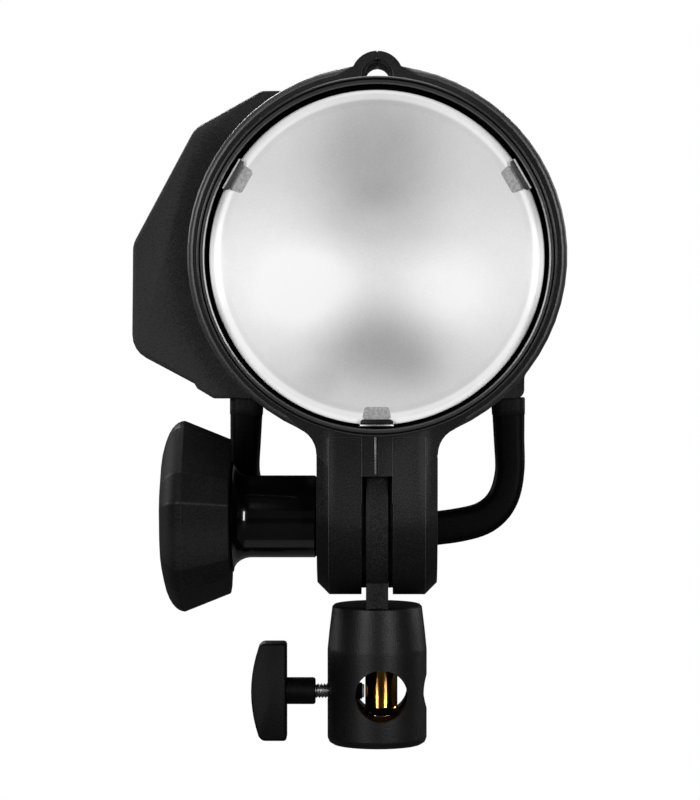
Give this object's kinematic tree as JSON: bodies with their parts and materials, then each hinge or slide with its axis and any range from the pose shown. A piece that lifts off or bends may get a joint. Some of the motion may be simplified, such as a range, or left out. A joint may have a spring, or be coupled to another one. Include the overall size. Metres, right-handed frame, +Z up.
{
  "type": "monolight strobe",
  "caption": "Battery monolight strobe: round frosted flash head on a tilting yoke with lobed lock knob, octagonal housing, slide-out battery, U grip and stand socket.",
  "frame": {"origin": "centre of the stand adapter's lower face, where the stand's spigot enters", "axes": "+Z up along the stand, -Y the way the light points at zero tilt, +X to the right as seen from in front"},
  "size_m": [0.1462, 0.293, 0.23],
  "materials": {
    "cast": "fine satin black powder coat on cast aluminium",
    "plastic": "fine grained matt black moulding",
    "sleeve_gloss": "polished black moulding",
    "knob_plastic": "satin black moulding",
    "rubber": "soft matt black rubber",
    "steel": "turned bright steel",
    "black_steel": "blackened steel",
    "clip_metal": "bright spring metal",
    "bare_aluminium": "satin anodised aluminium",
    "brass": "turned brass",
    "frosted_glass": "frosted glass",
    "quartz": "clear quartz glass",
    "ceramic": "white ceramic",
    "board": "green solder mask",
    "screen": "dark glossy window"
  },
  "bodies": {
    "stand": {"stand_adapter": "cast", "brass_spigot": "brass"},
    "clamp_pad": {"clamp_pad": "steel"},
    "clamp_knob": {"clamp_screw": "steel", "clamp_knob": "knob_plastic"},
    "tilt_sleeve": {"tilt_sleeve": "sleeve_gloss"},
    "tilt_knob": {"tilt_knob": "knob_plastic", "knob_insert": "brass"},
    "battery": {"battery_case": "plastic"},
    "battery_latch": {"battery_latch": "rubber"},
    "control_dial": {"control_dial": "rubber"},
    "button_1": {"button_1": "rubber"},
    "button_2": {"button_2": "rubber"},
    "button_3": {"button_3": "rubber"},
    "button_4": {"button_4": "rubber"},
    "fan_rotor": {"fan_rotor": "plastic"},
    "port_cover": {"port_cover": "rubber"},
    "head": {"collar_left": "cast", "collar_right": "cast", "yoke_screw_front": "black_steel", "yoke_screw_rear": "black_steel", "friction_washer_left": "black_steel", "friction_washer_right": "black_steel", "tilt_bolt": "black_steel", "head_tube": "cast", "front_rim": "cast", "glass_cover": "frosted_glass", "glass_clip_1": "clip_metal", "glass_clip_2": "clip_metal", "glass_clip_3": "clip_metal", "reflector": "bare_aluminium", "tube_base": "ceramic", "flash_tube": "quartz", "modelling_lamp": "ceramic", "lamp_plate": "bare_aluminium", "lamp_heatsink": "bare_aluminium", "front_cover": "plastic", "housing_top": "plastic", "housing_bottom": "plastic", "battery_dock": "plastic", "battery_contacts": "brass", "handle": "rubber", "capacitor_1": "plastic", "capacitor_2": "plastic", "main_board": "board", "rear_panel": "plastic", "display_window": "screen", "sync_socket": "steel", "panel_screw_1": "black_steel", "panel_screw_2": "black_steel", "panel_screw_3": "black_steel", "panel_screw_4": "black_steel", "fan_frame": "plastic", "vent_grille": "plastic"}
  },
  "joints": [
    {"name": "head_tilt", "type": "hinge", "parent": "stand", "child": "head", "pos_m": [0, 0, 0.0762], "axis": [1, 0, 0], "range_deg": [-40, 90]},
    {"name": "clamp_pad_slide", "type": "slide", "parent": "stand", "child": "clamp_pad", "axis": [-1, 0, 0], "range_m": [0, 0.00305]},
    {"name": "clamp_turn", "type": "hinge", "parent": "clamp_pad", "child": "clamp_knob", "pos_m": [-0.0302, 0, 0.0177], "axis": [-1, 0, 0], "range_deg": [0, 1080]},
    {"name": "tilt_sleeve_slide", "type": "slide", "parent": "head", "child": "tilt_sleeve", "axis": [-1, 0, 0], "range_m": [0, 0.0013]},
    {"name": "tilt_knob_turn", "type": "hinge", "parent": "tilt_sleeve", "child": "tilt_knob", "pos_m": [-0.0487, 0, 0.0762], "axis": [-1, 0, 0], "range_deg": [0, 360]},
    {"name": "battery_slide", "type": "slide", "parent": "head", "child": "battery", "axis": [0, 1, 0], "range_m": [0, 0.128]},
    {"name": "battery_latch_press", "type": "slide", "parent": "battery", "child": "battery_latch", "axis": [0, -1, 0], "range_m": [0, 0.0022], "stiffness_N_per_m": 500, "springref_m": -0.0005},
    {"name": "dial_turn", "type": "hinge", "parent": "head", "child": "control_dial", "pos_m": [0.016, 0.17, 0.174], "axis": [0, 1, 0], "continuous": true},
    {"name": "button_1_press", "type": "slide", "parent": "head", "child": "button_1", "axis": [0, -1, 0], "range_m": [0, 0.001], "stiffness_N_per_m": 400, "springref_m": -0.0003},
    {"name": "button_2_press", "type": "slide", "parent": "head", "child": "button_2", "axis": [0, -1, 0], "range_m": [0, 0.001], "stiffness_N_per_m": 400, "springref_m": -0.0003},
    {"name": "button_3_press", "type": "slide", "parent": "head", "child": "button_3", "axis": [0, -1, 0], "range_m": [0, 0.001], "stiffness_N_per_m": 400, "springref_m": -0.0003},
    {"name": "button_4_press", "type": "slide", "parent": "head", "child": "button_4", "axis": [0, -1, 0], "range_m": [0, 0.001], "stiffness_N_per_m": 400, "springref_m": -0.0003},
    {"name": "fan_spin", "type": "hinge", "parent": "head", "child": "fan_rotor", "pos_m": [0.02, 0.16, 0.138], "axis": [0, 1, 0], "continuous": true},
    {"name": "port_cover_hinge", "type": "hinge", "parent": "head", "child": "port_cover", "pos_m": [-0.0185, 0.1739, 0.1474], "axis": [1, 0, 0], "range_deg": [0, 120]}
  ],
  "couplings": [
    {"joint": "clamp_pad_slide", "follows": "clamp_turn", "m_per_rad": 0.00015915},
    {"joint": "tilt_sleeve_slide", "follows": "tilt_knob_turn", "m_per_rad": 0.00019894}
  ]
}
